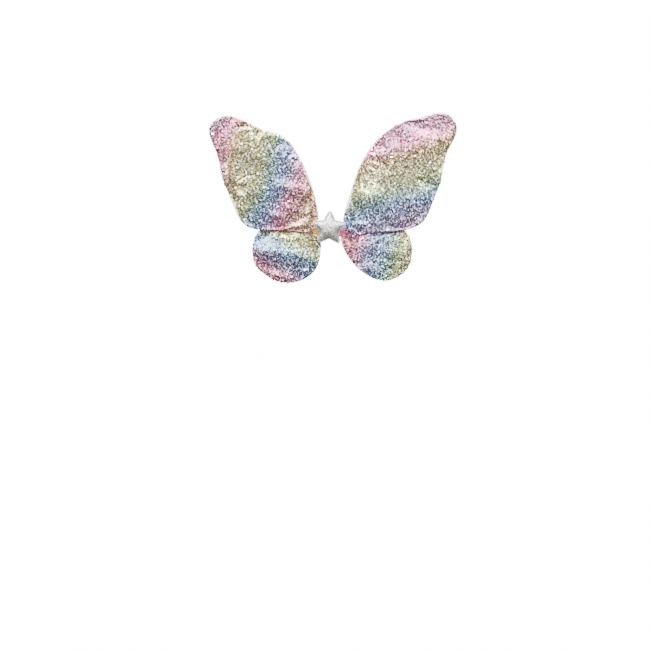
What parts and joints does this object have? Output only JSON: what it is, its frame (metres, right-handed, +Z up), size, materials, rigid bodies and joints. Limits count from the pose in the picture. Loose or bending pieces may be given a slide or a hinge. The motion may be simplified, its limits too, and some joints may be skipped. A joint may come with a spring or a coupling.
{
  "type": "fairy wings",
  "caption": "Child's dress-up fairy wings: padded upper and lower wings in rainbow sequin cloth, a glitter star at the centre and elastic arm loops behind.",
  "frame": {"origin": "middle of the back patch's rear face, the face that lies on the wearer's back", "axes": "+Z up; +Y towards the wearer, out of the back patch; +X to the right as the sequin side, which faces -Y, is looked at, so left and right are those of that view"},
  "size_m": [0.3454, 0.1109, 0.2363],
  "materials": {
    "sequin_cloth": "sequins",
    "ground_cloth": "matt knit",
    "satin": "satin",
    "foam": "open-cell foam",
    "filling": "loose fibre",
    "felt": "felt",
    "glitter_vinyl": "fine silver glitter",
    "elastic": "ribbed elastic",
    "thread": "thread"
  },
  "bodies": {
    "centre": {"body_cover": "ground_cloth", "body_filling": "filling", "back_patch": "satin", "star_backing": "felt", "star_face": "glitter_vinyl", "star_padding": "filling", "upper_left_root_tab": "satin", "left_strap_upper_end": "elastic", "lower_left_root_tab": "satin", "left_strap_lower_end": "elastic", "upper_right_root_tab": "satin", "right_strap_upper_end": "elastic", "lower_right_root_tab": "satin", "right_strap_lower_end": "elastic"},
    "left_wing": {"upper_left_sequin_cloth": "sequin_cloth", "upper_left_lining": "satin", "upper_left_foam": "foam", "lower_left_sequin_cloth": "sequin_cloth", "lower_left_lining": "satin", "lower_left_foam": "foam", "left_wing_tacks": "thread"},
    "right_wing": {"upper_right_sequin_cloth": "sequin_cloth", "upper_right_lining": "satin", "upper_right_foam": "foam", "lower_right_sequin_cloth": "sequin_cloth", "lower_right_lining": "satin", "lower_right_foam": "foam", "right_wing_tacks": "thread"},
    "left_arm_loop": {"left_strap_loop": "elastic"},
    "right_arm_loop": {"right_strap_loop": "elastic"}
  },
  "joints": [
    {"name": "left_wing_fold", "type": "hinge", "parent": "centre", "child": "left_wing", "pos_m": [-0.02, -0.008, 0], "axis": [0, 0, 1], "range_deg": [-8, 22], "stiffness_Nm_per_rad": 0.03},
    {"name": "left_arm_loop_swing", "type": "hinge", "parent": "centre", "child": "left_arm_loop", "pos_m": [-0.03, 0.006, 0], "axis": [0, 0, 1], "range_deg": [-55, 35]},
    {"name": "right_wing_fold", "type": "hinge", "parent": "centre", "child": "right_wing", "pos_m": [0.02, -0.008, 0], "axis": [0, 0, -1], "range_deg": [-8, 22], "stiffness_Nm_per_rad": 0.03},
    {"name": "right_arm_loop_swing", "type": "hinge", "parent": "centre", "child": "right_arm_loop", "pos_m": [0.03, 0.006, 0], "axis": [0, 0, -1], "range_deg": [-55, 35]}
  ]
}
